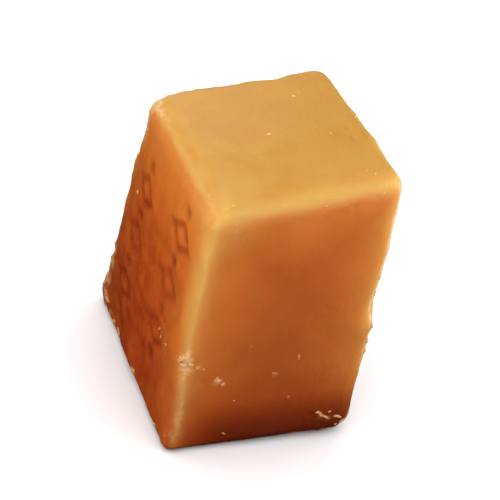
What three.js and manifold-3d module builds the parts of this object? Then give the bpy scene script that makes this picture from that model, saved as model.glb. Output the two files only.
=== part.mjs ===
// A bite-size block of butter fudge, cut from a pressed slab.
//
// The block stands on one small end. X runs along its front face, Y from front to back and Z up, in millimetres,
// with the origin under the middle of its bounding box. The left face was the top of the slab and carries the
// diamonds that the slab's roller pressed into it; the other faces are plain cuts.
import * as THREE from "three";
import { mergeVertices } from "three/addons/utils/BufferGeometryUtils.js";
import Module from "manifold-3d";

// The block before any unevenness.
const WIDTH = 18;
const DEPTH = 18.8;
const HEIGHT = 25.8;
const HALF = new THREE.Vector3(WIDTH, DEPTH, HEIGHT).multiplyScalar(0.5);

// The eight corners of the cut block: which corner it is, how far it sits off a true block, and how round it is.
// The four lower ones keep their height, so the foot stays flat.
const CORNERS = [
  { at: [-1, -1, -1], shift: [0.05, -0.65, 0], round: 0.9 },
  { at: [1, -1, -1], shift: [-0.7, -0.95, 0], round: 2.0 },
  { at: [-1, 1, -1], shift: [0.8, 1.1, 0], round: 1.0 },
  { at: [1, 1, -1], shift: [-0.1, 0.1, 0], round: 1.2 },
  { at: [-1, -1, 1], shift: [0.3, 0, 0.15], round: 2.4 },
  { at: [1, -1, 1], shift: [-0.1, 1.2, 1.3], round: 1.8 },
  { at: [-1, 1, 1], shift: [0.6, -1, -1], round: 2.1 },
  { at: [1, 1, 1], shift: [-0.8, 0.25, -0.2], round: 1.7 },
];

// How far the middle of each face swells beyond its edges. The foot doesn't swell.
const SWELL = { left: 0.4, right: 0.65, front: 0.15, back: 0.3, top: 0.4 };

// Soft waves in the faces and tighter ones along the edges, where the knife dragged the fudge. A wave field is the
// mean of three trains: the direction of each, and how much of the field's phase it starts at.
const FACE_WAVE = { height: 0.09, length: 7.5, phase: 0.8 };
const EDGE_WAVE = { height: 0.22, length: 3.4, phase: 1.9 };
const WAVE_TRAINS = [
  { along: new THREE.Vector3(1, 0.6, 0), start: 1 },
  { along: new THREE.Vector3(0, 0.9, -0.5), start: 2.1 },
  { along: new THREE.Vector3(0.7, 0, 0.8), start: 3.7 },
];
const WAVE_FREE_FOOT = 0.12; // share of the half height over which the waves fade out above the foot

// Bruises on the edges, as fractions of the half sizes: a dent has a positive depth and a lump a negative one.
const BRUISES = [
  { at: [1, -1, 0.38], reach: 1.0, depth: -0.2 },
  { at: [1, -1, 0.04], reach: 1.8, depth: 0.5 },
  { at: [1, -1, -0.16], reach: 1.0, depth: -0.45 },
  { at: [1, -1, -0.36], reach: 1.2, depth: -0.2 },
  { at: [-1, 1, -0.85], reach: 1.4, depth: -0.2 },
  { at: [-1, 1, -0.55], reach: 1.8, depth: 0.12 },
  { at: [-1, 0.45, -0.86], reach: 1.3, depth: 0.35 },
  { at: [-1, 0, -0.84], reach: 1.4, depth: -0.3 },
  { at: [0.4, 1, 1], reach: 2.2, depth: 0.3 },
];

// The surface's grid, and how far its lines crowd towards the edges, from 0 for an even grid to 1.
const CELLS = { x: 18, y: 20, z: 26 };
const CROWDING = 0.55;

// The roller's pattern: rows of motifs, each a diamond outline and a round dot, with a bare border round them all.
const PRINT = {
  rows: 2,
  rowPitch: 8.2,
  rowsOffset: -0.3,
  motifPitch: 5.6,
  motifs: 5,
  tilt: THREE.MathUtils.degToRad(5),
  diamondWide: 3.4,
  diamondTall: 4.4,
  stroke: 0.75,
  dotRadius: 0.55,
  dotSides: 12,
  depth: 0.38,
  border: 1.9,
};
const ROLLER_REACH = 3; // how tall a figure stands on the roller, so that it clears the face's swell
const OUT_OF_ROW = new THREE.Vector3(0, 0, 1);

const wasm = await Module();
wasm.setup();

// Values given at the eight corners, blended over the block. u, v and w run from -1 to 1.
function blendCorners(u, v, w, valueOf) {
  let sum = 0;
  for (const corner of CORNERS) {
    const [a, b, c] = corner.at;
    sum += (valueOf(corner) * (1 + a * u) * (1 + b * v) * (1 + c * w)) / 8;
  }
  return sum;
}

// A smooth wave field between -1 and 1 that doesn't repeat over the block.
function waves(point, { length, phase }) {
  let sum = 0;
  for (const { along, start } of WAVE_TRAINS) {
    sum += Math.sin((2 * Math.PI * point.dot(along)) / length + start * phase);
  }
  return sum / WAVE_TRAINS.length;
}

// Moves a point of the true block's surface, given in fractions of its half sizes, to where it lies on the cut block.
function cutSurface(u, v, w) {
  const round = blendCorners(u, v, w, (corner) => corner.round);
  const inner = HALF.clone().subScalar(round);
  const sharp = new THREE.Vector3(u, v, w).multiply(HALF);
  const core = sharp.clone().clamp(inner.clone().negate(), inner);
  const outward = sharp.clone().sub(core).normalize();
  const point = core.addScaledVector(outward, round);

  const [a, b, c] = point.clone().divide(HALF).toArray();
  const swell = new THREE.Vector3(
    a * (a > 0 ? SWELL.right : SWELL.left) * (1 - b * b) * (1 - c * c),
    b * (b > 0 ? SWELL.back : SWELL.front) * (1 - a * a) * (1 - c * c),
    Math.max(c, 0) * SWELL.top * (1 - a * a) * (1 - b * b),
  );
  const shift = new THREE.Vector3(
    ...[0, 1, 2].map((axis) => blendCorners(a, b, c, (corner) => corner.shift[axis])),
  );

  const edge = 1 - Math.max(...outward.toArray().map(Math.abs));
  const aboveFoot = THREE.MathUtils.smoothstep(c, -1, -1 + WAVE_FREE_FOOT);
  let lift = FACE_WAVE.height * waves(point, FACE_WAVE);
  lift += 2 * edge * EDGE_WAVE.height * waves(point, EDGE_WAVE);
  for (const bruise of BRUISES) {
    const middle = new THREE.Vector3(...bruise.at).multiply(HALF);
    lift -= bruise.depth * Math.exp(-point.distanceToSquared(middle) / bruise.reach ** 2);
  }
  return point.add(swell).add(shift).addScaledVector(outward, lift * aboveFoot);
}

// The same geometry with one vertex at each place, as a solid needs it.
function welded(geometry) {
  const bare = geometry.clone();
  bare.deleteAttribute("normal");
  bare.deleteAttribute("uv");
  return mergeVertices(bare);
}

// The plain cut block, as one closed grid folded round six faces.
function cutBlock() {
  const block = welded(new THREE.BoxGeometry(2, 2, 2, CELLS.x, CELLS.y, CELLS.z));
  const places = block.getAttribute("position");
  const crowd = (t) => t + (CROWDING * Math.sin(Math.PI * t)) / Math.PI;
  for (let i = 0; i < places.count; i++) {
    const point = cutSurface(crowd(places.getX(i)), crowd(places.getY(i)), crowd(places.getZ(i)));
    places.setXYZ(i, point.x, point.y, point.z);
  }
  return block;
}

// A diamond outline, drawn round the origin.
function diamondOutline() {
  const diamond = (wide, tall) =>
    [
      [wide, 0],
      [0, tall],
      [-wide, 0],
      [0, -tall],
    ].map(([x, y]) => new THREE.Vector2(x / 2, y / 2));
  const shape = new THREE.Shape(diamond(PRINT.diamondWide, PRINT.diamondTall));
  const inside = 1 - (2 * PRINT.stroke) / PRINT.diamondWide;
  shape.holes.push(new THREE.Path(diamond(PRINT.diamondWide * inside, PRINT.diamondTall * inside)));
  return shape;
}

// One raised figure of the roller, which cuts PRINT.depth into the left face.
function rollerFigure(shape) {
  return new THREE.ExtrudeGeometry(shape, {
    depth: ROLLER_REACH,
    bevelEnabled: false,
    curveSegments: PRINT.dotSides / 2,
  });
}

// All of the roller's figures that lie wholly on the left face, inside its bare border. Along a row is Z, tilted a
// little, and across it is Y.
function rollerFigures() {
  const dot = new THREE.Shape().absarc(0, 0, PRINT.dotRadius, 0, 2 * Math.PI);
  const toFace = new THREE.Matrix4().makeBasis(
    new THREE.Vector3(0, 0, 1),
    new THREE.Vector3(0, -1, 0),
    new THREE.Vector3(1, 0, 0),
  );
  const figures = [];
  for (let row = 0; row < PRINT.rows; row++) {
    const across = (row - (PRINT.rows - 1) / 2) * PRINT.rowPitch + PRINT.rowsOffset;
    for (let step = 0; step < 2 * PRINT.motifs; step++) {
      const along = ((step + row - (2 * PRINT.motifs - 1) / 2) * PRINT.motifPitch) / 2;
      const isDot = step % 2 === 1;
      const centre = new THREE.Vector3(along, across, 0).applyAxisAngle(OUT_OF_ROW, PRINT.tilt);
      const room = PRINT.border + (isDot ? PRINT.dotRadius : PRINT.diamondTall / 2);
      if (Math.abs(centre.y) > HALF.y - room || Math.abs(centre.x) > HALF.z - room) continue;
      const figure = rollerFigure(isDot ? dot : diamondOutline());
      const face = cutSurface(-1, -centre.y / HALF.y, centre.x / HALF.z);
      figure.rotateZ(PRINT.tilt);
      figure.translate(centre.x, centre.y, 0);
      figure.applyMatrix4(toFace);
      figure.translate(face.x + PRINT.depth - ROLLER_REACH, 0, 0);
      figures.push(figure);
    }
  }
  return figures;
}

function toSolid(geometry) {
  const closed = welded(geometry);
  return new wasm.Manifold(
    new wasm.Mesh({
      numProp: 3,
      vertProperties: closed.getAttribute("position").array,
      triVerts: new Uint32Array(closed.index.array),
    }),
  );
}

function toGeometry(solid) {
  const mesh = solid.getMesh();
  return new THREE.BufferGeometry()
    .setAttribute("position", new THREE.BufferAttribute(mesh.vertProperties, 3))
    .setIndex(new THREE.BufferAttribute(mesh.triVerts, 1));
}

// Puts the middle of the bounding box's foot on the origin.
function standOnOrigin(geometry) {
  geometry.computeBoundingBox();
  const { min, max } = geometry.boundingBox;
  return geometry.translate(-(min.x + max.x) / 2, -(min.y + max.y) / 2, -min.z);
}

let block = toSolid(cutBlock());
for (const figure of rollerFigures()) block = block.subtract(toSolid(figure));
const fudge = new THREE.Mesh(
  standOnOrigin(toGeometry(block)),
  new THREE.MeshStandardMaterial({ color: 0xd9a05a, roughness: 0.55, metalness: 0 }),
);
fudge.name = "fudge_block";

const part = new THREE.Group();
part.add(fudge);
export default part;
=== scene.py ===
import math

import bmesh
import bpy
import numpy as np
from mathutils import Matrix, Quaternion, Vector, noise


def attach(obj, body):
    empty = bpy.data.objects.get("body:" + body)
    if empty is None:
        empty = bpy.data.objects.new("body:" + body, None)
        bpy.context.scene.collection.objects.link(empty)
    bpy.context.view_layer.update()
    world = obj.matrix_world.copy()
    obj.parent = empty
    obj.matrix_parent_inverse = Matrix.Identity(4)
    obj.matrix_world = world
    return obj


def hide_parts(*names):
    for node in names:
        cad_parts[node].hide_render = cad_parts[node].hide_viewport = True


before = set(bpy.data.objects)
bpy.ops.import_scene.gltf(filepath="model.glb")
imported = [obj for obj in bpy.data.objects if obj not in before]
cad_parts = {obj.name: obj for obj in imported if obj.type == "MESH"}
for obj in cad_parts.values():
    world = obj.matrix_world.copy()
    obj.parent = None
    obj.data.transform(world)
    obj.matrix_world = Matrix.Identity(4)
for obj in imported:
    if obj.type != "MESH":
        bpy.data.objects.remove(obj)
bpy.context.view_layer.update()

MM = 0.001
NODE = "fudge_block"

# ---------------------------------------------------------------- the block

HALF = np.array([18.0, 18.8, 25.8]) / 2  # half the true block's width, depth and height
ON_FACE = 0.999  # a point is on a face from this fraction of the half size

# The corners of the cut block: which one, how far it sits off a true block, and how round it is.
CORNERS = [
    ((-1, -1, -1), (0.05, -0.65, 0), 0.9),
    ((1, -1, -1), (-0.7, -0.95, 0), 2.0),
    ((-1, 1, -1), (0.8, 1.1, 0), 1.0),
    ((1, 1, -1), (-0.1, 0.1, 0), 1.2),
    ((-1, -1, 1), (0.3, 0, 0.15), 2.4),
    ((1, -1, 1), (-0.1, 1.2, 1.3), 1.8),
    ((-1, 1, 1), (0.6, -1, -1), 2.1),
    ((1, 1, 1), (-0.8, 0.25, -0.2), 1.7),
]
CORNER_AT = np.array([corner[0] for corner in CORNERS], float)
CORNER_SHIFT = np.array([corner[1] for corner in CORNERS], float)
CORNER_ROUND = np.array([corner[2] for corner in CORNERS], float)

# How far each face swells at its middle. Then the soft waves of the faces and of the edges: the way that each
# train of them runs, how many times the phase it starts at, and the share of half the height in which they
# fade out, so that the foot stays flat.
SWELL = {"left": 0.4, "right": 0.65, "front": 0.15, "back": 0.3, "top": 0.4}
FACE_WAVE = {"height": 0.09, "length": 7.5, "phase": 0.8}
EDGE_WAVE = {"height": 0.22, "length": 3.4, "phase": 1.9}
WAVE_TRAINS = [((1, 0.6, 0), 1), ((0, 0.9, -0.5), 2.1), ((0.7, 0, 0.8), 3.7)]
WAVE_FREE_FOOT = 0.12

# Bruises on the edges: where, in fractions of the half sizes, how wide, and how deep. A lump has a negative
# depth.
BRUISES = [
    ((1, -1, 0.38), 1.0, -0.2),
    ((1, -1, 0.04), 1.8, 0.5),
    ((1, -1, -0.16), 1.0, -0.45),
    ((1, -1, -0.36), 1.2, -0.2),
    ((-1, 1, -0.85), 1.4, -0.2),
    ((-1, 1, -0.55), 1.8, 0.12),
    ((-1, 0.45, -0.86), 1.3, 0.35),
    ((-1, 0, -0.84), 1.4, -0.3),
    ((0.4, 1, 1), 2.2, 0.3),
]

# The roller's pattern on the left face: rows of diamond outlines, with a dot between each two. Patches of it
# are pressed more or less deeply, and "reached" is the usual share of the depth.
PRINT = {
    "rows": 2, "row_pitch": 8.2, "rows_offset": -0.3, "motif_pitch": 5.6, "motifs": 5,
    "tilt": math.radians(5), "diamond_wide": 3.4, "diamond_tall": 4.4, "stroke": 0.75, "dot_radius": 0.55,
    "depth": 0.30, "reached": 0.7, "border": 1.9, "wall": 0.9,
}

# ---------------------------------------------------------------- the block's fine surface

# How many cells its grid has each way, how much they crowd towards the edges, and over which height the fine
# relief fades in above the foot.
CELLS = (96, 100, 136)
CROWDING = 0.45
RELIEF_FREE_FOOT = 0.9

# From where to where a surface turns from top to side, by how little it looks up, and from side to the
# rolled left side, by how much it looks left.
SIDE_FROM = (0.3, 0.7)
ROLLED_FROM = (0.5, 0.9)

# What is uneven: by how much, as a height, a length or a share, then how far apart its lumps are, each way
# or for all, and its seed.
UNEVEN = {
    "sugar grain": (0.006, 0.5, 1),
    "dimples": (0.014, 2.6, 2),
    "knife drag": (0.012, (0.5, 0.5, 14.0), 3),
    "rolled side": (0.10, (1.6, 1.6, 2.8), 21),
    "pressed depth": (0.4, 2.2, 5),
    "crags": (1.0, 0.9, 11),
    "finer crags": (0.5, 0.9 / 2.1, 12),
    "pale band": (0.3, 2.4, 8),
    "core": (0.9, 4.5, 9),
    "smears_and_highlight": (0.7, 0.5, 14),
}

# The crags of the worn edges: their height, how deep the hollows are for that, and how dry they are.
CRAG = {"height": 0.34, "hollows": 0.6, "dry": 2}
EDGE_FULL = 0.26  # from this much turn away from the faces, a point lies fully on an edge

# The rolled side: how far its warm colour, a painted light, goes down from the top and back from the front,
# and the front's share of it. Then how far down its rim goes, how pale that is, and how much less warm. Then
# how much less warm its front is near the foot, and how much of the foot's painted shade it takes.
ROLLED = {
    "warm_reach": 8.0, "warm_front": 4.0, "front_share": 0.7, "rim_reach": 2.8, "rim_pale": 0.2,
    "rim_cooler": 0.4, "foot_cooler": 0.6, "painted_foot_shade": 0.3,
}

# The edges are painted paler, partly their own paler colour and partly painted light that shines through
# them: the least reach of the pale band along them, how much further it reaches for each millimetre that the
# edge is rounded by, how much of it the top has, how much narrower it is on the rolled side, and a fainter
# glow of painted light that goes further into the faces. On the cut sides this glow and the halo below grow
# fainter towards the foot.
PALE = {
    "least": 0.15, "for_rounding": 0.75, "on_top": 0.6, "less_rolled": 0.28, "glow": 0.10, "glow_reach": 4.5,
    "fainter_low": 0.7,
}
# Painted highlight: the top's front-left corner has the widest pale patch.
PALE_CORNER = {"at": (-1, -1, 1), "reach": 4.0, "share": 0.6}  # the corner with the widest pale patch

# The upright edges fade more softly than the top's: how far below the top's edges that is full, how pale they
# are for each millimetre that they are rounded by and at most, and how far they fade, as a share of the
# band, on the cut sides and on the rolled one.
UPRIGHT = {"full_below": 1.5, "for_rounding": 0.4, "most": 0.8, "fall": 0.65, "rolled_reach": 1.6}

# A wide, faint halo of painted light along the top and the right edges of the cut sides: its strength, and
# how far in it goes.
HALO = {"share": 0.17, "reach": 3.0}

# Near the foot the pale line of the front-left edge lies a little onto the front: how far at the foot, up to
# which height, and how far in from the edge that is felt. There it is also narrow, paler with painted light,
# freer of the foot's painted shade and dustier than the band, and it comes in over the heights in "starts".
LINE_DRIFT = {
    "by": 0.9, "up_to": 16.0, "felt": 6.0, "starts": (-2.0, 6.0), "narrow": 0.7, "paler": 0.35, "less_foot_shade": 0.6,
    "dusty": 0.2,
}

# Painted shade: the middles of the cut sides are painted deeper than their edges, which the light shines
# through.
CORE_REACH = (1.0, 9.0)  # how far in from the edges the cut sides turn to the deeper colour of their middles

# Painted shade at the foot, a deeper and darker colour towards the bottom: how far up it goes, how fast it
# fades, how much less of it the front-left edge has, and how far from there that is felt.
PAINTED_FOOT_SHADE = {"up_to": 11.0, "fade": 1.35, "less_foot_shade": 0.5, "less_foot_shade_reach": 3.5}

# Stretches where the edges are worn: where, in fractions of the half sizes, how far it reaches, how craggy
# it is, and how dry and pale its very edge. The palest, high on the back-left edge and along the right-front
# one, are partly a painted highlight along those edges.
WORN = [
    ((-1, 1, -0.95), 3.2, 1.0, 1.4),
    ((-1, 0.3, -1), 3.0, 0.9, 0.9),
    ((-1, -0.6, -1), 2.6, 0.8, 0.8),
    ((-1, 1, -0.5), 4.0, 0.9, 1.6),
    ((-1, 1, 0.35), 4.5, 0.6, 0.9),
    ((-1, 1, 0.75), 3.0, 0.5, 2.0),
    ((-1, 0.9, 0.9), 3.2, 0.6, 2.4),
    ((-0.6, 1, 1), 5.0, 0.4, 1.6),
    ((1, -1, -0.2), 2.6, 0.9, 0.9),
    ((1, -1, 0.35), 5.5, 0.3, 2.6),
    ((1, -1, 0.8), 3.0, 0.2, 2.0),
    ((0.5, -1, -1), 3.5, 0.7, 0.6),
    ((-1, -1, -0.22), 1.6, 0.9, 1.0),
    ((-1, -1, -0.65), 4.0, 0.4, 0.25),
    ((0, 1, 1), 8.0, 0.3, 0.8),
    ((1, 0.2, 1), 8.0, 0.3, 0.7),
    ((1, 1, -0.4), 5.0, 0.8, 0.9),
    ((0.2, 1, -1), 6.0, 0.8, 0.8),
    ((1, 0.2, -1), 5.0, 0.7, 0.8),
]
WORN_EVERYWHERE = (0.1, 0.12)  # the least that any edge is craggy and dry
DRY_REACH = 0.5  # how far in from the very edge it is dry

# Where crumbs were rubbed off and left a pale smear: a place in the frame, how far it reaches, and how
# strong it is. The four high on the back-left edge are not smears but a painted highlight along that edge.
SMEARS_AND_HIGHLIGHTS = [
    ((-8.6, -9.6, 9.9), 0.7, 0.5),
    ((-7.6, -10.0, 9.6), 0.5, 0.35),
    ((-5.6, -10.0, 7.9), 0.5, 0.5),
    ((-5.0, -10.0, 7.6), 0.4, 0.4),
    ((-0.4, -10.0, 8.0), 0.4, 0.35),
    ((4.9, -10.2, 2.7), 0.5, 0.35),
    ((5.7, -10.1, 2.3), 0.5, 0.35),
    ((7.2, -9.8, 1.4), 0.6, 0.4),
    ((-8.9, -5.0, 9.4), 0.5, 0.35),
    ((-7.9, 7.3, 24.0), 0.8, 1.0),
    ((-8.3, 7.1, 23.1), 0.7, 1.0),
    ((-8.5, 7.0, 22.2), 0.7, 0.9),
    ((-8.6, 7.0, 21.2), 0.6, 0.7),
    ((-8.5, 8.7, 8.6), 0.5, 0.6),
    ((-8.5, 8.8, 6.9), 0.6, 0.8),
    ((-8.5, 8.8, 5.2), 0.6, 1.0),
    ((-8.5, 8.8, 3.4), 0.6, 1.0),
    ((-8.5, 8.7, 1.6), 0.6, 1.1),
    ((-8.8, 6.9, 0.8), 0.6, 0.6),
    ((-9.0, -0.6, 0.8), 0.6, 0.6),
]

# Small pits: how many, how wide, and how deep for their width.
PITS = {"count": 60, "wide": (0.18, 0.45), "depth": 0.4, "seed": 31}

# ---------------------------------------------------------------- crumbs and flakes

# Crumbs that cling where the block was handled: a place in the frame, and a size across.
CLINGING_CRUMBS = [
    ((-8.8, -9.3, 10.2), 0.65), ((-8.6, -9.5, 9.7), 0.5), ((-8.2, -9.8, 9.9), 0.36),
    ((-7.6, -10.0, 9.7), 0.36), ((-7.1, -10.0, 9.4), 0.26), ((-5.5, -10.0, 7.9), 0.6),
    ((-5.0, -10.0, 7.6), 0.4), ((-1.0, -0.3, 26.2), 0.36), ((3.2, 4.6, 26.0), 0.3),
    ((-8.7, 5.7, 15.8), 0.34), ((-8.6, 9.2, 7.4), 0.5), ((-8.5, 9.4, 5.2), 0.65),
    ((-8.5, 9.3, 3.2), 0.6), ((-8.5, 8.0, 1.5), 0.6), ((-8.7, 5.8, 0.9), 0.5),
    ((-9.0, -0.9, 1.1), 0.6), ((-8.9, -4.8, 0.9), 0.36), ((-9.0, -7.3, 0.8), 0.42),
    ((8.2, -9.0, 11.6), 0.6), ((8.0, -9.1, 9.9), 0.5), ((8.1, -8.8, 8.6), 0.35),
    ((5.6, -10.1, 3.1), 0.3), ((6.5, -10.0, 1.5), 0.3),
]

# Fresher crumbs, nearly the colour of the faces: some at their own places, and the loose ones all over.
FRESH_CRUMBS = [
    ((-0.4, -10.0, 8.0), 0.45), ((1.3, -10.1, 5.2), 0.28), ((-3.6, -10.0, 5.6), 0.2),
    ((-5.9, -9.4, 23.1), 0.2),
]
LOOSE_CRUMBS = {"count": 90, "size": (0.08, 0.2), "grains": 2, "edge_pull": 60.0, "seed": 7}

# What a crumb is like: how many grains it has, the first one's and the others' share of its size, how far
# apart they are, how long the crumb is for its width, and how flat, how ragged and how deeply sunk each
# grain is. Each grain is stretched at random, and its lumps come in two sizes, each with its share and how
# far apart they are.
CRUMB = {
    "grains": 5, "first": 0.85, "others": (0.35, 0.65), "apart": (0.2, 0.42), "long": 1.3, "flat": 0.5,
    "ragged": 0.45, "sunk": 0.38, "stretch": (0.6, 1.2), "lumps": [(1.0, 0.75), (0.5, 0.35)],
}
FINE_BALL, COARSE_BALL = 3, 2  # how often a starting shape is divided; only the loose crumbs are coarse

# Flakes: a place in the frame, a length, a width and a turn in the face.
CLINGING_FLAKES = [
    ((-9.15, -4.7, 9.6), 1.0, 0.25, 0.9),
    ((-9.15, -5.1, 9.2), 0.6, 0.2, 1.2),
    ((-9.15, -6.4, 9.3), 0.5, 0.2, 0.2),
    ((5.1, -10.2, 2.5), 1.2, 0.26, -0.5),
    ((6.4, -10.1, 2.4), 0.7, 0.24, -0.35),
    ((4.5, -10.2, 3.0), 0.6, 0.24, -0.2),
    ((6.9, -9.8, 1.7), 0.8, 0.25, 0.1),
    ((-8.6, 9.1, 3.1), 1.3, 0.3, 1.5),
    ((-8.7, 8.3, 1.6), 1.2, 0.3, 2.2),
    ((-8.8, 4.4, 0.9), 1.1, 0.28, 2.9),
    ((-9.0, 1.6, 0.9), 0.9, 0.26, 0.2),
]
LOOSE_FLAKES = {"count": 14, "length": (0.4, 0.8), "wide": 0.4, "edge_pull": 60.0, "seed": 19}

# What a flake is like: how thick it is and how ragged its outline, how far apart the lumps of that are and
# how little they change through the thickness, and how far its ends curl up for its length. "level" is the
# share of the curl that its middle is lowered by, and "lifted" is how far it stands off the face for its
# thickness.
FLAKE = {
    "thick": 0.08, "ragged": 0.6, "lumps": 0.5, "through": 0.2, "curl": (0.02, 0.1), "level": 0.35,
    "lifted": 0.6,
}

SEEDS_UP_TO = 50  # a grain's or a flake's own seed is drawn from 0 to this
LOOSE_ABOVE = 0.5  # loose crumbs and flakes cling above this height
NEARLY_LEVEL = 0.9  # a face whose normal rises by this much or more counts as level
# Crumbs and flakes high up turn paler: partly their own colour and partly painted light, as lit as the top.
HIGH = (23.0, 25.5)  # between these heights crumbs and flakes turn to the paler colour of the top's

# ---------------------------------------------------------------- colours and surfaces

# The mottled fudge of the top, of the cut sides, of the rolled side, of the crumbs and of the dry crust: the
# colours of its deeper and its paler patches, and how far apart they are. The crust uses only the patches.
# The cut sides are deeper and redder than the top, and the rolled side deeper still: that difference is
# painted shade, for the light that falls on the top and less on them.
MOTTLE = {
    "top": {"Deep": (0.66, 0.316, 0.050, 1), "Pale": (0.716, 0.374, 0.074, 1), "Patch mm": 3.2},
    "side": {"Deep": (0.61, 0.146, 0.019, 1), "Pale": (0.68, 0.176, 0.025, 1), "Patch mm": 2.6},
    "rolled": {"Deep": (0.46, 0.048, 0.003, 1), "Pale": (0.62, 0.102, 0.008, 1), "Patch mm": 1.7},
    "crumb": {"Deep": (0.82, 0.33, 0.10, 1), "Pale": (0.94, 0.54, 0.25, 1), "Patch mm": 1.1},
    "crust": {"Patch mm": 0.45},
}
PATCH_SPAN = (0.35, 0.65)  # the part of the noise over which deep patches turn to pale ones

# The sugar grain of the block and of the crumbs, and from which height of it on all is speck.
GRAIN = {
    "block": {"Grain size mm": 0.32, "Speck share": 0.28},
    "crumb": {"Grain size mm": 0.18, "Speck share": 0.45},
}
SPECK_FULL = 0.85

# The top is a little paler towards its right and its back: how much at its middle, how that changes with
# each, its strongest share, and the colour that it turns to.
TOP_FADE = {"middle": 0.5, "right": 0.45, "back": 0.2, "most": 0.6, "colour": (0.84, 0.42, 0.082, 1)}

# What lies over the mottled fudge, one after another: the mark that it follows, the span of the mark in which
# it comes in, its strongest share, and its colour. The deeper middles of the cut sides and the dark foot are
# painted shade, the warm colour near the rolled side's top and front is painted light, the pale edges are
# partly painted light that shines through them and partly their own paler colour, and the pressed pattern is
# painted darker, partly as shade in its grooves.
LAYERS = [
    ("core", (0, 1), 0.65, (0.43, 0.096, 0.012, 1)),
    ("warm", (0, 1), 0.9, (0.86, 0.245, 0.028, 1)),
    ("pale", (0, 1), 1, (0.76, 0.50, 0.12, 1)),
    ("foot_painted_shade", (0, 0.8), 0.85, (0.45, 0.055, 0.006, 1)),
    ("foot_painted_shade", (0.4, 1), 0.95, (0.13, 0.012, 0.002, 1)),
    # Partly painted shade: the pressed grooves are painted darker, as shade falls in them.
    ("pressed", (0, 1), 0.8, (0.28, 0.022, 0.003, 1)),
]

# Then the dry crust, which the patches make more or less of, and the paler specks of the grain. On a few
# edges the dry crust is partly a painted highlight.
DRY_CRUST_AND_HIGHLIGHT = {"by_patch": (0.35, 1.3), "span": (0.1, 0.9), "most": 0.85, "colour": (0.95, 0.62, 0.32, 1)}
SPECKS = {"span": (0.2, 1), "most": 0.12, "colour": MOTTLE["crumb"]["Deep"]}

# The colours that fresher crumbs and flakes and those high up turn to, and the strongest share of the first.
# The paler colour high up is partly painted light, as lit as the top.
FRESH = {"most": 0.7, "colour": (0.60, 0.19, 0.05, 1)}
HIGH_COLOUR = (0.97, 0.70, 0.30, 1)

# How each finish takes the light: how rough it is at its smoothest and at its roughest, how much light goes
# into it and how deep, how glossy it is, and how high its grain stands.
BLOCK_LOOK = {"rough": (0.48, 0.62), "lets_in": 0.7, "depth": 1.5, "gloss": 0.28, "grain": 0.05}
CRUMB_LOOK = {"rough": (0.6, 0.75), "lets_in": 0.5, "depth": 0.1, "gloss": 0.5, "grain": 0.03}
GLOW = (1.0, 0.45, 0.2)  # the shares of that depth that red, green and blue light reach
GRAIN_STRENGTH = 0.8

# ---------------------------------------------------------------- camera and studio

# The camera: its place, what it aims at, how far it is rolled, its lens, and the nearest that it sees.
CAMERA = {
    "place": (-99.6, -186.7, 185.0), "aim": (0.0, 0.0, 13.2), "roll": math.radians(13.15), "lens": 230,
    "near": 10.0,
}

# Soft boxes, all white: a place, a side and a power. Four stand round the block, one looks along its
# front-left edge, one shines down from the front left, and a wide one hangs overhead.
SOFT_BOXES = {
    "overhead": ((-10, 20, 130), 120, 0.054),
    "key": ((-22, -28, 75), 45, 0.0105),
    "edge light": ((-36, -36, 12), 26, 0.0066),
    "front fill": ((14, -46, 42), 26, 0.0100),
    "left fill": ((-46, -2, 42), 26, 0.0104),
    "right fill": ((46, -14, 25), 26, 0.0140),
    "back fill": ((0, 48, 42), 26, 0.0080),
}

# The air of the studio: its faint light and the colour of that, and what the camera sees behind everything.
AIR = {"strength": 0.05, "colour": (1.0, 0.6, 0.4, 1), "seen": (1, 1, 1, 1)}

# The paper that the block stands on: its side, its colour, how rough and how glossy it is, its own light and
# how wide the sky is that gives it, and how dark it is for the light thrown back at the block, as the rest
# of a heap would be.
PAPER = {
    "side": 4000.0, "seen": (0.95, 0.95, 0.95, 1), "rough": 0.9, "gloss": 0.1, "light": 4.4,
    "sky": math.radians(120), "thrown_back": (0.12, 0.04, 0.015, 1),
}

# ---------------------------------------------------------------- shaping tools


def blend_corners(fractions, values):
    """Values given at the eight corners, blended over the block."""
    weights = np.prod(1 + fractions[:, None, :] * CORNER_AT[None], axis=2) / 8
    return weights @ values


def smooth_step(x, low, high):
    """0 up to low, 1 from high on, and a soft step between them."""
    t = np.clip((x - low) / (high - low), 0, 1)
    return t * t * (3 - 2 * t)


def falloff(gap, reach):
    """1 where there is no gap, and less the wider it is for the reach."""
    return np.exp(-(gap / reach) ** 2)


def nearness(points, place, reach):
    """1 at a place, and less the further off each point is for the reach."""
    return np.exp(-((points - place) ** 2).sum(axis=1) / reach ** 2)


def waves(points, wave):
    """A smooth wave field between -1 and 1 that doesn't repeat over the block."""
    turn = 2 * math.pi / wave["length"]
    trains = [
        np.sin(turn * (points @ np.array(way)) + start * wave["phase"])
        for way, start in WAVE_TRAINS
    ]
    return sum(trains) / len(trains)


def rough(points, size, seed):
    """A random but repeatable field between about -1 and 1. Its lumps are size apart, each way or for all."""
    shift = np.array([17.3, 5.1, 9.7]) * seed
    return np.array([noise.noise(place) for place in points / np.array(size) + shift])


def uneven(points, what):
    """What one row of UNEVEN adds at each point."""
    by, size, seed = UNEVEN[what]
    return by * rough(points, size, seed)


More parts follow.
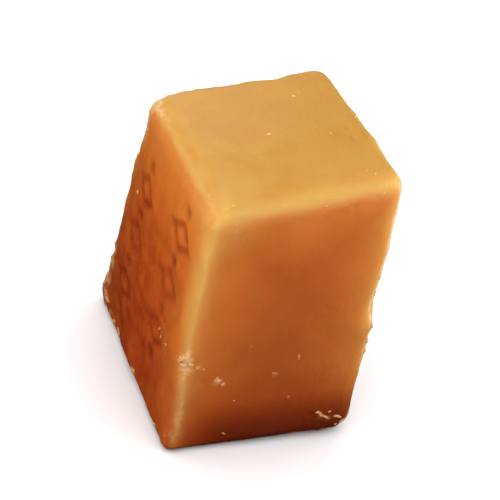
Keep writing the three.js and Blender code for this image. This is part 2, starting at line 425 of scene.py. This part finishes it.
def cut_surface(fractions):
    """Where the true block's surface points lie on the cut block, and how far round its edges each is."""
    round_by = blend_corners(fractions, CORNER_ROUND[:, None])
    inner = HALF - round_by
    sharp = fractions * HALF
    core = np.clip(sharp, -inner, inner)
    outward = sharp - core
    outward /= np.linalg.norm(outward, axis=1, keepdims=True)
    points = core + outward * round_by

    a, b, c = (points / HALF).T
    swell = np.stack([
        a * np.where(a > 0, SWELL["right"], SWELL["left"]) * (1 - b * b) * (1 - c * c),
        b * np.where(b > 0, SWELL["back"], SWELL["front"]) * (1 - a * a) * (1 - c * c),
        np.maximum(c, 0) * SWELL["top"] * (1 - a * a) * (1 - b * b),
    ], axis=1)
    shift = blend_corners(points / HALF, CORNER_SHIFT)

    edge = 1 - np.abs(outward).max(axis=1)
    above_foot = smooth_step(c, -1, -1 + WAVE_FREE_FOOT)
    lift = FACE_WAVE["height"] * waves(points, FACE_WAVE)
    lift += 2 * edge * EDGE_WAVE["height"] * waves(points, EDGE_WAVE)
    for at, reach, depth in BRUISES:
        lift -= depth * nearness(points, np.array(at) * HALF, reach)
    return points + swell + shift + outward * (lift * above_foot)[:, None], edge / EDGE_FULL


def folded_grid(cells):
    """A closed grid over the faces of a cube from -1 to 1: its points and its outward quads."""
    steps = np.array(cells)
    places, quads, base = [], [], 0
    for axis in range(3):
        first, second = (axis + 1) % 3, (axis + 2) % 3
        rows, columns = steps[first] + 1, steps[second] + 1
        i, j = (g.ravel() for g in np.meshgrid(np.arange(rows), np.arange(columns), indexing="ij"))
        for side in (0, steps[axis]):
            lattice = np.zeros((rows * columns, 3), int)
            lattice[:, axis] = side
            lattice[:, first] = i
            lattice[:, second] = j
            places.append(lattice)
            corner = (np.arange(rows - 1)[:, None] * columns + np.arange(columns - 1)[None]).ravel() + base
            ring = np.stack([corner, corner + columns, corner + columns + 1, corner + 1], axis=1)
            quads.append(ring if side else ring[:, ::-1])
            base += rows * columns
    lattice, merged = np.unique(np.concatenate(places), axis=0, return_inverse=True)
    return lattice / steps * 2 - 1, merged.ravel()[np.concatenate(quads)]


def new_mesh(name, points, faces, smooth=True):
    """A mesh from points in millimetres."""
    mesh = bpy.data.meshes.new(name)
    mesh.from_pydata((points * MM).tolist(), [], faces.tolist())
    mesh.polygons.foreach_set("use_smooth", [smooth] * len(mesh.polygons))
    mesh.update()
    return mesh


def new_object(name, data):
    """Puts a mesh, a lamp or a camera into the scene."""
    thing = bpy.data.objects.new(name, data)
    bpy.context.scene.collection.objects.link(thing)
    return thing


def normals_of(mesh):
    """The normals at the vertices of a mesh."""
    flat = np.zeros(len(mesh.vertices) * 3, np.float32)
    mesh.vertex_normals.foreach_get("vector", flat)
    return flat.reshape(-1, 3).astype(float)


def mark(mesh, name, values):
    """Keeps a value between 0 and 1 at each vertex, for the material to read."""
    layer = mesh.attributes.new(name, "FLOAT", "POINT")
    layer.data.foreach_set("value", np.clip(values, 0, 1).astype(np.float32))


# ---------------------------------------------------------------- the fine block


def drift_line(sharp, gaps):
    """Changes the gaps to the left and front faces, to move the edge between them a little to the right."""
    on_left = sharp[:, 0] < -ON_FACE * HALF[0]
    on_front = ~on_left & (sharp[:, 1] < -ON_FACE * HALF[1])
    from_fold = np.where(on_left, HALF[1] + sharp[:, 1], HALF[0] + sharp[:, 0])
    low = 1 - smooth_step(HALF[2] + sharp[:, 2], 0, LINE_DRIFT["up_to"])
    drift = LINE_DRIFT["by"] * low * (1 - smooth_step(from_fold, 0, LINE_DRIFT["felt"]))
    gaps[:, 1] += drift * on_left
    gaps[:, 0] = np.where(on_front, np.abs(gaps[:, 0] - drift), gaps[:, 0])


def to_nearest_edge(sharp, with_foot, with_left=True):
    """How far each point of the true block is from its nearest edge that counts."""
    gaps = HALF - np.abs(sharp)
    if with_left:
        drift_line(sharp, gaps)
    else:
        gaps[:, 0] = HALF[0] - sharp[:, 0]
    if not with_foot:
        gaps[:, 2] = np.where(sharp[:, 2] < 0, HALF.max() * 2, gaps[:, 2])
    return np.sort(gaps, axis=1)[:, 1]


class CutBlock:
    """The cut block before its fine relief, and where on it each of its points is."""

    def __init__(self):
        even, self.quads = folded_grid(CELLS)
        self.fractions = even + CROWDING * np.sin(math.pi * even) / math.pi
        self.sharp = self.fractions * HALF
        self.points, edge = cut_surface(self.fractions)
        self.edge = np.clip(edge, 0, 1)
        low, high = self.points.min(axis=0), self.points.max(axis=0)
        self.stand = -np.array([(low[0] + high[0]) / 2, (low[1] + high[1]) / 2, low[2]])

        form = new_mesh("block_form", self.points, self.quads)
        self.normals = normals_of(form)
        bpy.data.meshes.remove(form)
        self.side = smooth_step(1 - np.abs(self.normals[:, 2]), *SIDE_FROM)
        self.rolled = smooth_step(-self.normals[:, 0], *ROLLED_FROM)

        self.inward = to_nearest_edge(self.sharp, with_foot=False)
        self.below_rim = HALF[2] * (1 - self.fractions[:, 2])
        self.at_rim = self.rolled * falloff(self.below_rim, ROLLED["rim_reach"])
        up = HALF[2] * (1 + self.fractions[:, 2])
        self.low_down = 1 - smooth_step(up, 0, LINE_DRIFT["up_to"])
        front_left = (self.fractions[:, 0] < 0) & (self.fractions[:, 1] < 0)
        self.on_line = front_left * self.low_down * smooth_step(up, *LINE_DRIFT["starts"])
        self.on_line *= falloff(self.inward, LINE_DRIFT["narrow"])


def diamond_line(along, across):
    """How far each point lies inside the line of a diamond outline whose middle is at 0."""
    wide, tall = PRINT["diamond_wide"] / 2, PRINT["diamond_tall"] / 2
    share = np.abs(along) / wide + np.abs(across) / tall
    to_edge = (1 - share) * wide * tall / math.hypot(wide, tall)
    stroke = PRINT["stroke"] * tall / math.hypot(wide, tall)
    return np.minimum(to_edge, stroke - to_edge)


def pressed_pattern(cut):
    """How deeply the roller pressed each point of the left face, from 0 to 1."""
    cos, sin = math.cos(PRINT["tilt"]), math.sin(PRINT["tilt"])
    along = cut.points[:, 2] * cos - cut.points[:, 1] * sin
    across = -cut.points[:, 1] * cos - cut.points[:, 2] * sin
    depth = np.zeros(len(cut.points))
    for row in range(PRINT["rows"]):
        row_at = (row - (PRINT["rows"] - 1) / 2) * PRINT["row_pitch"] + PRINT["rows_offset"]
        for step in range(2 * PRINT["motifs"]):
            step_at = (step + row - (2 * PRINT["motifs"] - 1) / 2) * PRINT["motif_pitch"] / 2
            is_dot = step % 2 == 1
            z = step_at * cos - row_at * sin
            y = step_at * sin + row_at * cos
            room = PRINT["border"] + (PRINT["dot_radius"] if is_dot else PRINT["diamond_tall"] / 2)
            if abs(y) > HALF[1] - room or abs(z) > HALF[2] - room:
                continue
            if is_dot:
                inward = PRINT["dot_radius"] - np.hypot(along - step_at, across - row_at)
            else:
                inward = diamond_line(along - step_at, across - row_at)
            depth = np.maximum(depth, smooth_step(inward, -PRINT["wall"] / 2, PRINT["wall"] / 2))
    return depth * (cut.fractions[:, 0] < -ON_FACE)


def worn_stretches(points):
    """How craggy and how dry the edges near each point are; the driest are partly a painted highlight."""
    craggy, dry = (np.full(len(points), least) for least in WORN_EVERYWHERE)
    for at, reach, how_craggy, how_dry in WORN:
        near = nearness(points, np.array(at) * HALF, reach)
        craggy = np.maximum(craggy, how_craggy * near)
        dry = np.maximum(dry, how_dry * near)
    return craggy, dry


def edge_crags(cut, craggy):
    """The crags and hollows of the worn edges, as shares of the crags' height."""
    lumps = uneven(cut.points, "crags") + uneven(cut.points, "finer crags")
    return craggy * cut.edge * np.where(lumps > 0, lumps, CRAG["hollows"] * lumps)


def pits(points):
    """Small round pits over the faces, as a depth at each point."""
    draw = np.random.default_rng(PITS["seed"])
    depth = np.zeros(len(points))
    for _ in range(PITS["count"]):
        middle = points[draw.integers(len(points))]
        wide = draw.uniform(*PITS["wide"])
        depth = np.maximum(depth, wide * PITS["depth"] * nearness(points, middle, wide / 2))
    return depth


def fine_relief(cut, crags, pressed):
    """How far the sugar, the knife, the roller and wear lift each point off the cut block."""
    lift = uneven(cut.points, "sugar grain")
    lift += uneven(cut.points, "dimples") + uneven(cut.points, "rolled side") * cut.rolled
    lift += uneven(cut.points, "knife drag") * cut.side * (1 - cut.edge)
    lift += CRAG["height"] * crags
    lift -= PRINT["depth"] * pressed
    lift -= pits(cut.points) * (1 - cut.edge)
    return lift * smooth_step(cut.points[:, 2] + HALF[2], 0, RELIEF_FREE_FOOT)


def pale_band(cut):
    """How pale the band along the edges is: crisp at the top's edges, and softer at the upright ones."""
    rounding = blend_corners(cut.fractions, CORNER_ROUND)
    band = PALE["least"] + PALE["for_rounding"] * rounding
    band *= 1 + uneven(cut.points, "pale band")
    crisp = 1 - smooth_step(cut.inward, 0, band * (1 - PALE["less_rolled"] * cut.rolled))
    soft = np.exp(-cut.inward / (UPRIGHT["fall"] * band))
    soft += cut.rolled * (1 - smooth_step(cut.inward, 0, UPRIGHT["rolled_reach"] * band) - soft)
    soft *= np.minimum(UPRIGHT["for_rounding"] * rounding, UPRIGHT["most"])
    upright = smooth_step(cut.below_rim - cut.inward, 0, UPRIGHT["full_below"])
    return crisp + upright * (soft - crisp)


def paleness(cut):
    """How much of the edges' pale colour, much of it painted light, each point has, from all that makes it
    pale.
    """
    fainter = 1 - PALE["fainter_low"] * cut.low_down * (1 - cut.rolled)
    pale = (1 - PALE["glow"]) * pale_band(cut)
    pale += PALE["glow"] * fainter * np.exp(-cut.inward / PALE["glow_reach"])
    pale *= PALE["on_top"] + (1 - PALE["on_top"]) * cut.side
    near_corner = nearness(cut.points, np.array(PALE_CORNER["at"]) * HALF, PALE_CORNER["reach"])
    pale = np.maximum(pale, PALE_CORNER["share"] * near_corner)
    pale += ROLLED["rim_pale"] * cut.at_rim * (1 - pale)
    from_right_or_top = to_nearest_edge(cut.sharp, with_foot=False, with_left=False)
    halo = HALO["share"] * falloff(from_right_or_top, HALO["reach"]) * cut.side * (1 - cut.rolled)
    pale += fainter * halo * (1 - pale)
    pale += LINE_DRIFT["paler"] * cut.on_line * (1 - pale)
    return pale


def painted_core_shade(cut):
    """How much of the painted shade of the cut sides' middles each point has."""
    deep = cut.inward + uneven(cut.points, "core")
    return cut.side * (1 - cut.rolled) * smooth_step(deep, *CORE_REACH)


def painted_warm_light(cut):
    """How much of the rolled side's warm colour, a painted light, each point has."""
    warm_top = falloff(HALF[2] - cut.points[:, 2], ROLLED["warm_reach"])
    warm_front = ROLLED["front_share"] * falloff(HALF[1] + cut.points[:, 1], ROLLED["warm_front"])
    warm_front *= 1 - ROLLED["foot_cooler"] * cut.low_down
    return cut.rolled * np.maximum(warm_top, warm_front) * (1 - ROLLED["rim_cooler"] * cut.at_rim)


def painted_foot_shade(cut, standing):
    """How much of the foot's painted shade each point has. standing is the finished points in the frame."""
    foot_painted_shade = (1 - smooth_step(standing[:, 2], 0, PAINTED_FOOT_SHADE["up_to"])) ** PAINTED_FOOT_SHADE["fade"]
    front_left = falloff(standing[:, 0] + HALF[0], PAINTED_FOOT_SHADE["less_foot_shade_reach"])
    foot_painted_shade *= 1 - PAINTED_FOOT_SHADE["less_foot_shade"] * (1 - cut.rolled) * front_left
    foot_painted_shade *= 1 - LINE_DRIFT["less_foot_shade"] * cut.on_line
    return foot_painted_shade * (1 - cut.rolled * (1 - ROLLED["painted_foot_shade"]))


def smears_and_highlight(standing):
    """How pale crumb smears and a few painted highlights make each point. standing is the points in the
    frame.
    """
    strength = np.zeros(len(standing))
    for at, reach, strong in SMEARS_AND_HIGHLIGHTS:
        strength = np.maximum(strength, strong * nearness(standing, np.array(at), reach))
    return strength * (1 + uneven(standing, "smears_and_highlight"))


def dryness_and_highlight(cut, crags, dry_and_highlit_edges):
    """How dry and dusty each point is, with a few edges' painted highlights."""
    dry = dry_and_highlit_edges * falloff(to_nearest_edge(cut.sharp, with_foot=True), DRY_REACH)
    dry += CRAG["dry"] * np.maximum(crags, 0)
    dry += smears_and_highlight(cut.points + cut.stand)
    return dry + LINE_DRIFT["dusty"] * cut.on_line


def make_block():
    """The block with its fine surface, and the marks that its finish reads."""
    cut = CutBlock()
    craggy, dry_and_highlit_edges = worn_stretches(cut.points)
    crags = edge_crags(cut, craggy)
    pressed = pressed_pattern(cut) * (PRINT["reached"] + uneven(cut.points, "pressed depth"))
    points = cut.points + cut.normals * fine_relief(cut, crags, pressed)[:, None] + cut.stand
    points[:, 2] = np.maximum(points[:, 2], 0)

    mesh = new_mesh("fudge_body", points, cut.quads)
    # Of these marks, side, rolled, core and foot carry painted shade, warm painted light, pale partly painted
    # light, pressed partly the shade in its grooves, and dry partly a painted highlight.
    marks = {
        "worn": craggy * cut.edge,
        "pale": paleness(cut),
        "side": cut.side,
        "top_paler": cut.fractions @ np.array([TOP_FADE["right"], TOP_FADE["back"], 0]) + TOP_FADE["middle"],
        "core": painted_core_shade(cut),
        "rolled": cut.rolled,
        "warm": painted_warm_light(cut),
        "foot_painted_shade": painted_foot_shade(cut, points),
        "pressed": pressed,
        "dry": dryness_and_highlight(cut, crags, dry_and_highlit_edges),
    }
    for name, values in marks.items():
        mark(mesh, name, values)
    return new_object("fudge_body", mesh)


# ---------------------------------------------------------------- making crumbs and flakes


def ball(rounds):
    """A round starting shape for a grain or a flake: its points and triangles."""
    shape = bmesh.new()
    bmesh.ops.create_icosphere(shape, subdivisions=rounds, radius=1)
    points = np.array([vertex.co for vertex in shape.verts])
    faces = np.array([[vertex.index for vertex in face.verts] for face in shape.faces])
    shape.free()
    return points, faces


def facing(normal, turn):
    """Axes that lie on a face: two along it, turned by turn, and its normal."""
    normal = normal / np.linalg.norm(normal)
    helper = np.array([0, 0, 1.0]) if abs(normal[2]) < NEARLY_LEVEL else np.array([1.0, 0, 0])
    first = np.cross(helper, normal)
    first /= np.linalg.norm(first)
    second = np.cross(normal, first)
    return np.stack([
        math.cos(turn) * first + math.sin(turn) * second,
        math.cos(turn) * second - math.sin(turn) * first,
        normal,
    ])


def join_pieces(name, dry_pieces, fresh_pieces):
    """One piece of many small separate shapes, marked where they are fresh and where they are high up."""
    points, faces, base = [], [], 0
    for some_points, some_faces in dry_pieces + fresh_pieces:
        points.append(some_points)
        faces.append(some_faces + base)
        base += len(some_points)
    points = np.concatenate(points)
    mesh = new_mesh(name, points, np.concatenate(faces))
    dry_ones = sum(len(some_points) for some_points, _ in dry_pieces)
    mark(mesh, "fresh", np.arange(len(points)) >= dry_ones)
    mark(mesh, "high", smooth_step(points[:, 2], *HIGH))
    return new_object(name, mesh)


class BlockSurface:
    """The fine block's vertices and normals, to set small things on."""

    def __init__(self, block):
        self.points = np.array([vertex.co for vertex in block.data.vertices]) / MM
        self.normals = normals_of(block.data)
        worn = np.zeros(len(self.points), np.float32)
        block.data.attributes["worn"].data.foreach_get("value", worn)
        self.worn = worn.astype(float)

    def nearest(self, place):
        """The vertex nearest to a place, and its normal."""
        index = ((self.points - np.array(place)) ** 2).sum(axis=1).argmin()
        return self.points[index], self.normals[index]

    def scatter(self, count, edge_pull, draw):
        """Random places, more of them on the worn edges, none at the foot."""
        weight = (1 + edge_pull * self.worn) * (self.points[:, 2] > LOOSE_ABOVE)
        picked = draw.choice(len(self.points), count, replace=False, p=weight / weight.sum())
        return [(self.points[i], self.normals[i]) for i in picked]


def grain(place, axes, size, ball_shape, draw):
    """One broken grain of fudge, flattened onto the face that it clings to."""
    points, faces = ball_shape
    shape = points * draw.uniform(*CRUMB["stretch"], 3) * np.array([1, 1, CRUMB["flat"]])
    lumps = sum(share * rough(points, apart, draw.uniform(0, SEEDS_UP_TO)) for share, apart in CRUMB["lumps"])
    shape *= (1 + CRUMB["ragged"] * lumps)[:, None]
    above = axes[2] * size * CRUMB["flat"] * (0.5 - CRUMB["sunk"])
    return place + (shape * size / 2) @ axes + above, faces


def crumb(place, normal, size, grains, ball_shape, draw):
    """A crumb: a few grains stuck together, the largest in the middle."""
    axes = facing(normal, draw.uniform(0, 2 * math.pi))
    pieces = []
    for step in range(grains):
        share = CRUMB["first"] if step == 0 else draw.uniform(*CRUMB["others"])
        turn = draw.uniform(0, 2 * math.pi)
        away = 0 if step == 0 else draw.uniform(*CRUMB["apart"]) * size
        offset = away * (math.cos(turn) * axes[0] * CRUMB["long"] + math.sin(turn) * axes[1])
        pieces.append(grain(place + offset, axes, size * share, ball_shape, draw))
    return pieces


def make_crumbs(surface):
    """The crumbs: dry and fresh ones at their places, and then the loose ones."""
    draw = np.random.default_rng(LOOSE_CRUMBS["seed"])
    fine, coarse = ball(FINE_BALL), ball(COARSE_BALL)
    dry, fresh = [], []
    for place, size in CLINGING_CRUMBS:
        dry += crumb(*surface.nearest(place), size, CRUMB["grains"], fine, draw)
    for place, size in FRESH_CRUMBS:
        fresh += crumb(*surface.nearest(place), size, CRUMB["grains"], fine, draw)
    for place, normal in surface.scatter(LOOSE_CRUMBS["count"], LOOSE_CRUMBS["edge_pull"], draw):
        size = draw.uniform(*LOOSE_CRUMBS["size"])
        fresh += crumb(place, normal, size, LOOSE_CRUMBS["grains"], coarse, draw)
    return join_pieces("fudge_crumbs", dry, fresh)


def flake(place, normal, length, width, turn, ball_shape, draw):
    """A thin shaving of fudge that curls off the face."""
    points, faces = ball_shape
    shape = points * np.array([length, width, FLAKE["thick"]]) / 2
    drawn_out = points * np.array([1, 1, FLAKE["through"]])
    ragged = 1 + FLAKE["ragged"] * rough(drawn_out, FLAKE["lumps"], draw.uniform(0, SEEDS_UP_TO))
    shape[:, :2] *= ragged[:, None]
    curl = draw.uniform(*FLAKE["curl"]) * length
    shape[:, 2] += curl * (points[:, 0] ** 2) - curl * FLAKE["level"]
    return place + shape @ facing(normal, turn) + normal * FLAKE["thick"] * FLAKE["lifted"], faces


def make_flakes(surface):
    """The flakes: dry ones at their places, and then fresh loose ones."""
    draw = np.random.default_rng(LOOSE_FLAKES["seed"])
    fine = ball(FINE_BALL)
    dry, fresh = [], []
    for place, length, width, turn in CLINGING_FLAKES:
        dry.append(flake(*surface.nearest(place), length, width, turn, fine, draw))
    for place, normal in surface.scatter(LOOSE_FLAKES["count"], LOOSE_FLAKES["edge_pull"], draw):
        length = draw.uniform(*LOOSE_FLAKES["length"])
        width = length * LOOSE_FLAKES["wide"]
        fresh.append(flake(place, normal, length, width, draw.uniform(0, math.pi), fine, draw))
    return join_pieces("fudge_flakes", dry, fresh)


# ---------------------------------------------------------------- finishes


class Nodes:
    """A tree of shader nodes, with short ways to add to it. Values are numbers, colours or sockets."""

    def __init__(self, tree):
        self.tree = tree
        self.nodes, self.links = tree.nodes, tree.links

    def feed(self, socket, value):
        """Gives a socket its value, or links the value's socket to it."""
        if isinstance(value, bpy.types.NodeSocket):
            self.links.new(value, socket)
        else:
            socket.default_value = value

    def blend(self, share, under, over):
        """over laid on under by share."""
        node = self.nodes.new("ShaderNodeMix")
        node.data_type = "RGBA"
        self.feed(node.inputs["Factor"], share)
        self.feed(node.inputs[6], under)
        self.feed(node.inputs[7], over)
        return node.outputs[2]

    def scaled(self, value, span=(0, 1), to=(0, 1)):
        """A value within a span, turned into one between the two of to."""
        node = self.nodes.new("ShaderNodeMapRange")
        self.feed(node.inputs["Value"], value)
        self.feed(node.inputs["From Min"], span[0])
        self.feed(node.inputs["From Max"], span[1])
        self.feed(node.inputs["To Min"], to[0])
        self.feed(node.inputs["To Max"], to[1])
        return node.outputs["Result"]

    def reckon(self, operation, first, second):
        """Two values put together by one of the maths node's operations."""
        node = self.nodes.new("ShaderNodeMath")
        node.operation = operation
        self.feed(node.inputs[0], first)
        self.feed(node.inputs[1], second)
        return node.outputs[0]

    def lumps(self, apart, detail, roughness):
        """Noise over the piece, with its lumps this many millimetres apart."""
        node = self.nodes.new("ShaderNodeTexNoise")
        place = self.nodes.new("ShaderNodeTexCoord")
        self.feed(node.inputs["Vector"], place.outputs["Object"])
        self.feed(node.inputs["Scale"], self.reckon("DIVIDE", 1 / MM, apart))
        self.feed(node.inputs["Detail"], detail)
        self.feed(node.inputs["Roughness"], roughness)
        return node.outputs["Fac"]

    def as_seen(self, seen, unseen):
        """One shader for what the camera sees, and another for the light that goes elsewhere."""
        path = self.nodes.new("ShaderNodeLightPath")
        mix = self.nodes.new("ShaderNodeMixShader")
        self.feed(mix.inputs["Fac"], path.outputs["Is Camera Ray"])
        self.feed(mix.inputs[1], unseen)
        self.feed(mix.inputs[2], seen)
        return mix.outputs["Shader"]


def new_group(name, inputs, outputs):
    """An empty node group with its named sockets: its nodes, what it is given, and what it gives."""
    tree = bpy.data.node_groups.new(name, "ShaderNodeTree")
    for label, kind, value in inputs:
        socket = tree.interface.new_socket(label, in_out="INPUT", socket_type="NodeSocket" + kind)
        socket.default_value = value
    for label, kind in outputs:
        tree.interface.new_socket(label, in_out="OUTPUT", socket_type="NodeSocket" + kind)
    return Nodes(tree), tree.nodes.new("NodeGroupInput").outputs, tree.nodes.new("NodeGroupOutput").inputs


def sugar_grain_group():
    """Fine sugar grain: a height for the bump, and a mask of the paler specks in it."""
    group, given, gives = new_group(
        "sugar grain",
        [("Grain size mm", "Float", 0.35), ("Speck share", "Float", 0.3)],
        [("Height", "Float"), ("Specks", "Float")],
    )
    height = group.lumps(given["Grain size mm"], detail=3, roughness=0.6)
    speck_start = group.reckon("SUBTRACT", SPECK_FULL, given["Speck share"])
    group.feed(gives["Height"], height)
    group.feed(gives["Specks"], group.scaled(height, (speck_start, SPECK_FULL)))
    return group.tree


def caramel_mottle_group():
    """Soft patches where the sugar set paler or deeper: their colour, and a mask of the paler ones."""
    group, given, gives = new_group(
        "caramel mottle",
        [
            ("Deep", "Color", (0.7, 0.35, 0.1, 1)),
            ("Pale", "Color", (0.85, 0.5, 0.2, 1)),
            ("Patch mm", "Float", 4.0),
        ],
        [("Color", "Color"), ("Patches", "Float")],
    )
    patches = group.scaled(group.lumps(given["Patch mm"], detail=4, roughness=0.55), PATCH_SPAN)
    group.feed(gives["Color"], group.blend(patches, given["Deep"], given["Pale"]))
    group.feed(gives["Patches"], patches)
    return group.tree


class Finish(Nodes):
    """A material in the making."""

    def __init__(self, name):
        self.material = bpy.data.materials.new(name)
        self.material.use_nodes = True
        super().__init__(self.material.node_tree)
        self.shader = self.nodes["Principled BSDF"]

    def group(self, tree, values):
        """Places a node group with its own values, and gives its outputs."""
        node = self.nodes.new("ShaderNodeGroup")
        node.node_tree = tree
        for name, value in values.items():
            node.inputs[name].default_value = value
        return node.outputs

    def mark(self, name):
        """A mark of the mesh."""
        node = self.nodes.new("ShaderNodeAttribute")
        node.attribute_name = name
        return node.outputs["Fac"]

    def set(self, name, value):
        """Sets one of the shader's own sockets."""
        self.feed(self.shader.inputs[name], value)

    def take_light(self, look, roughness, height):
        """Sets how the finish takes the light. roughness and height are the sockets that these follow."""
        self.set("Roughness", self.scaled(roughness, to=look["rough"]))
        self.set("Subsurface Weight", look["lets_in"])
        self.set("Subsurface Radius", GLOW)
        self.set("Subsurface Scale", look["depth"] * MM)
        self.set("Specular IOR Level", look["gloss"])
        bump = self.nodes.new("ShaderNodeBump")
        self.feed(bump.inputs["Strength"], GRAIN_STRENGTH)
        self.feed(bump.inputs["Distance"], look["grain"] * MM)
        self.feed(bump.inputs["Height"], height)
        self.set("Normal", bump.outputs["Normal"])


def body_finish(grain_group, mottle_group):
    """The fudge of the block: the mottled top and sides, and all that lies over them."""
    finish = Finish("butter fudge")
    grain_parts = finish.group(grain_group, GRAIN["block"])
    top, side, rolled = (finish.group(mottle_group, MOTTLE[face]) for face in ("top", "side", "rolled"))
    fade = finish.scaled(finish.mark("top_paler"), to=(0, TOP_FADE["most"]))
    colour = finish.blend(fade, top["Color"], TOP_FADE["colour"])
    # Painted shade: the sides take their deeper mottle, and the rolled side a deeper one still.
    colour = finish.blend(finish.mark("side"), colour, side["Color"])
    colour = finish.blend(finish.mark("rolled"), colour, rolled["Color"])
    for name, span, most, layer in LAYERS:
        colour = finish.blend(finish.scaled(finish.mark(name), span, (0, most)), colour, layer)

    crust = finish.scaled(finish.group(mottle_group, MOTTLE["crust"])["Patches"], to=DRY_CRUST_AND_HIGHLIGHT["by_patch"])
    dry = finish.reckon("MULTIPLY", finish.mark("dry"), crust)
    colour = finish.blend(finish.scaled(dry, DRY_CRUST_AND_HIGHLIGHT["span"], (0, DRY_CRUST_AND_HIGHLIGHT["most"])), colour, DRY_CRUST_AND_HIGHLIGHT["colour"])
    specks = finish.scaled(grain_parts["Specks"], SPECKS["span"], (0, SPECKS["most"]))
    finish.set("Base Color", finish.blend(specks, colour, SPECKS["colour"]))
    finish.take_light(BLOCK_LOOK, top["Patches"], grain_parts["Height"])
    return finish.material


def crumb_finish(grain_group, mottle_group):
    """Dry crumbs and flakes, the fresher ones nearly the colour of the faces, and those high up paler, partly
    painted light.
    """
    finish = Finish("dry fudge crumb")
    grain_parts = finish.group(grain_group, GRAIN["crumb"])
    mottle = finish.group(mottle_group, MOTTLE["crumb"])
    fresh = finish.scaled(finish.mark("fresh"), to=(0, FRESH["most"]))
    colour = finish.blend(fresh, mottle["Color"], FRESH["colour"])
    finish.set("Base Color", finish.blend(finish.mark("high"), colour, HIGH_COLOUR))
    finish.take_light(CRUMB_LOOK, grain_parts["Specks"], grain_parts["Height"])
    return finish.material


def paper_finish():
    """Pale paper as the camera sees it. What it throws back at the block is as dark as the rest of a heap."""
    finish = Finish("pale paper")
    finish.set("Base Color", PAPER["seen"])
    finish.set("Roughness", PAPER["rough"])
    finish.set("Specular IOR Level", PAPER["gloss"])
    dark = finish.nodes.new("ShaderNodeBsdfDiffuse")
    finish.feed(dark.inputs["Color"], PAPER["thrown_back"])
    shown = finish.as_seen(finish.shader.outputs["BSDF"], dark.outputs["BSDF"])
    finish.feed(finish.nodes["Material Output"].inputs["Surface"], shown)
    return finish.material


# ---------------------------------------------------------------- making the studio


def place_camera():
    """The camera, rolled so that the upright block leans in its view."""
    data = bpy.data.cameras.new("camera")
    data.lens = CAMERA["lens"]
    data.clip_start = CAMERA["near"] * MM
    camera = new_object("camera", data)
    camera.location = Vector(CAMERA["place"]) * MM
    look = Vector(CAMERA["aim"]) * MM - camera.location
    camera.rotation_mode = "QUATERNION"
    camera.rotation_quaternion = look.to_track_quat("-Z", "Y") @ Quaternion((0, 0, 1), CAMERA["roll"])
    bpy.context.scene.camera = camera


def soft_light(name, place, size, power, only_on):
    """A square soft box at place, in millimetres, turned to the block, on only_on alone."""
    data = bpy.data.lights.new(name, "AREA")
    data.shape = "SQUARE"
    data.size = size * MM
    data.energy = power
    light = new_object(name, data)
    light.location = Vector(place) * MM
    light.rotation_mode = "QUATERNION"
    light.rotation_quaternion = (Vector(CAMERA["aim"]) - Vector(place)).to_track_quat("-Z", "Y")
    light.visible_camera = False
    light.light_linking.receiver_collection = only_on


def even_light(name, strength, only_on):
    """Soft light from the whole sky, straight down, on only_on alone."""
    data = bpy.data.lights.new(name, "SUN")
    data.energy = strength
    data.angle = PAPER["sky"]
    light = new_object(name, data)
    light.light_linking.receiver_collection = only_on


def collect(name, things):
    """The things that a light is meant for."""
    group = bpy.data.collections.new(name)
    for thing in things:
        group.objects.link(thing)
    return group


def make_floor():
    """A wide sheet of paper."""
    corners = np.array([[-1, -1, 0], [1, -1, 0], [1, 1, 0], [-1, 1, 0]]) * PAPER["side"] / 2
    floor = new_object("floor", new_mesh("floor", corners, np.array([[0, 1, 2, 3]]), smooth=False))
    floor.data.materials.append(paper_finish())
    return floor


def fill_with_air():
    """Faint warm light from all round, and plain white for the camera to see behind everything."""
    world = bpy.data.worlds.new("studio")
    world.use_nodes = True
    air = Nodes(world.node_tree)
    warm = air.nodes["Background"]
    air.feed(warm.inputs["Color"], AIR["colour"])
    air.feed(warm.inputs["Strength"], AIR["strength"])
    white = air.nodes.new("ShaderNodeBackground")
    air.feed(white.inputs["Color"], AIR["seen"])
    shown = air.as_seen(white.outputs["Background"], warm.outputs["Background"])
    air.feed(air.nodes["World Output"].inputs["Surface"], shown)
    bpy.context.scene.world = world


def make_studio(pieces):
    """The paper, the lights and the air round the pieces."""
    floor = make_floor()
    lit_fudge = collect("lit fudge", pieces)
    for name, (place, size, power) in SOFT_BOXES.items():
        soft_light(name, place, size, power, lit_fudge)
    even_light("paper light", PAPER["light"], collect("lit paper", [floor]))
    fill_with_air()
    bpy.context.scene.view_settings.view_transform = "Standard"


# ---------------------------------------------------------------- putting it together


def dress(piece, finish):
    """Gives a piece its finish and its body."""
    piece.data.materials.append(finish)
    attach(piece, "root")
    return piece


place_camera()
grain_group = sugar_grain_group()
mottle_group = caramel_mottle_group()

block = dress(make_block(), body_finish(grain_group, mottle_group))
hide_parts(NODE)
surface = BlockSurface(block)
dry_crumb = crumb_finish(grain_group, mottle_group)
crumbs = dress(make_crumbs(surface), dry_crumb)
flakes = dress(make_flakes(surface), dry_crumb)
make_studio([block, crumbs, flakes])
